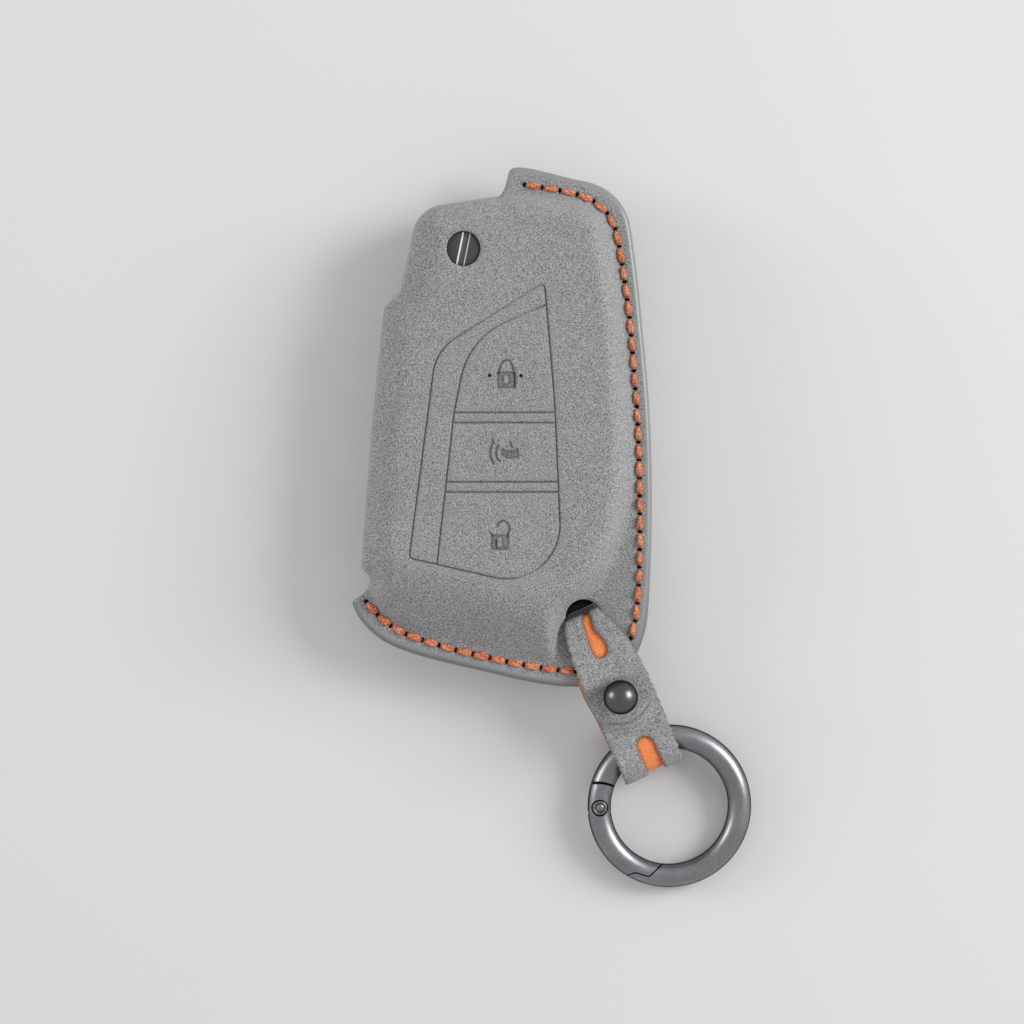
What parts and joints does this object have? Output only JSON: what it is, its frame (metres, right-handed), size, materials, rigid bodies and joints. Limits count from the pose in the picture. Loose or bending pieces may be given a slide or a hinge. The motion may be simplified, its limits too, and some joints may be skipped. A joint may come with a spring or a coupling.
{
  "type": "key fob cover",
  "caption": "Stitched suede cover moulded round a flip key, with a riveted strap loop and a spring gate ring for a key chain.",
  "frame": {"origin": "on the flat back of the cover, in the middle of its width at the seam and near the middle of its length", "axes": "+Z out of the back toward the button side, +Y along the cover away from the ring, +X across it toward the stitched side"},
  "size_m": [0.0679, 0.1226, 0.0164],
  "materials": {
    "grey_suede": "napped suede, matt",
    "orange_suede": "napped suede, matt",
    "orange_thread": "twisted waxed thread",
    "gunmetal": "satin black nickel plate",
    "black_nickel": "polished black nickel plate",
    "spring_steel": "bright spring steel",
    "housing_plastic": "fine texture",
    "button_rubber": "matt",
    "release_metal": "dark satin",
    "board_laminate": "solder mask",
    "switch_metal": "pressed sheet",
    "cell_steel": "nickel plate",
    "blade_steel": "ground and plated"
  },
  "bodies": {
    "cover": {"front_panel": "grey_suede", "back_panel": "grey_suede", "side_thread": "orange_thread", "bottom_thread": "orange_thread", "key_front_shell": "housing_plastic", "key_back_shell": "housing_plastic", "circuit_board": "board_laminate", "tact_switches": "switch_metal", "coin_cell": "cell_steel", "flip_spring": "spring_steel"},
    "blade": {"blade_hub": "release_metal", "key_blade": "blade_steel", "blade_pin": "blade_steel"},
    "release": {"release_button": "release_metal"},
    "lock": {"lock_button": "button_rubber"},
    "horn": {"horn_button": "button_rubber"},
    "unlock": {"unlock_button": "button_rubber"},
    "strap": {"strap_outer": "grey_suede", "strap_lining": "orange_suede", "stud_ball": "black_nickel", "stud_screw": "black_nickel"},
    "ring": {"ring_body": "gunmetal", "gate_rivet": "gunmetal"},
    "gate": {"ring_gate": "gunmetal", "gate_spring": "spring_steel"}
  },
  "joints": [
    {"name": "blade_flip", "type": "hinge", "parent": "cover", "child": "blade", "pos_m": [-0.0069, 0.0295, 0.0088], "axis": [0, 0, -1], "range_deg": [0, 170]},
    {"name": "release_press", "type": "slide", "parent": "cover", "child": "release", "axis": [0, 0, -1], "range_m": [0, 0.0012], "stiffness_N_per_m": 300, "springref_m": -0.0001},
    {"name": "lock_press", "type": "slide", "parent": "cover", "child": "lock", "axis": [0, 0, -1], "range_m": [0, 0.0004], "stiffness_N_per_m": 400, "springref_m": -0.00005},
    {"name": "horn_press", "type": "slide", "parent": "cover", "child": "horn", "axis": [0, 0, -1], "range_m": [0, 0.0004], "stiffness_N_per_m": 400, "springref_m": -0.00005},
    {"name": "unlock_press", "type": "slide", "parent": "cover", "child": "unlock", "axis": [0, 0, -1], "range_m": [0, 0.0004], "stiffness_N_per_m": 400, "springref_m": -0.00005},
    {"name": "strap_turn", "type": "hinge", "parent": "cover", "child": "strap", "pos_m": [0.013, -0.0313, 0.0088], "axis": [0, 0, 1], "range_deg": [0, 25]},
    {"name": "ring_tip", "type": "hinge", "parent": "strap", "child": "ring", "pos_m": [0.02341, -0.05436, 0.00415], "axis": [-0.9114, -0.4115, 0], "range_deg": [-90, 100]},
    {"name": "gate_open", "type": "hinge", "parent": "ring", "child": "gate", "pos_m": [0.01607, -0.06469, 0.00352], "axis": [0.0369, -0.0816, 0.996], "range_deg": [0, 28], "stiffness_Nm_per_rad": 0.02, "springref_deg": -2.86}
  ]
}
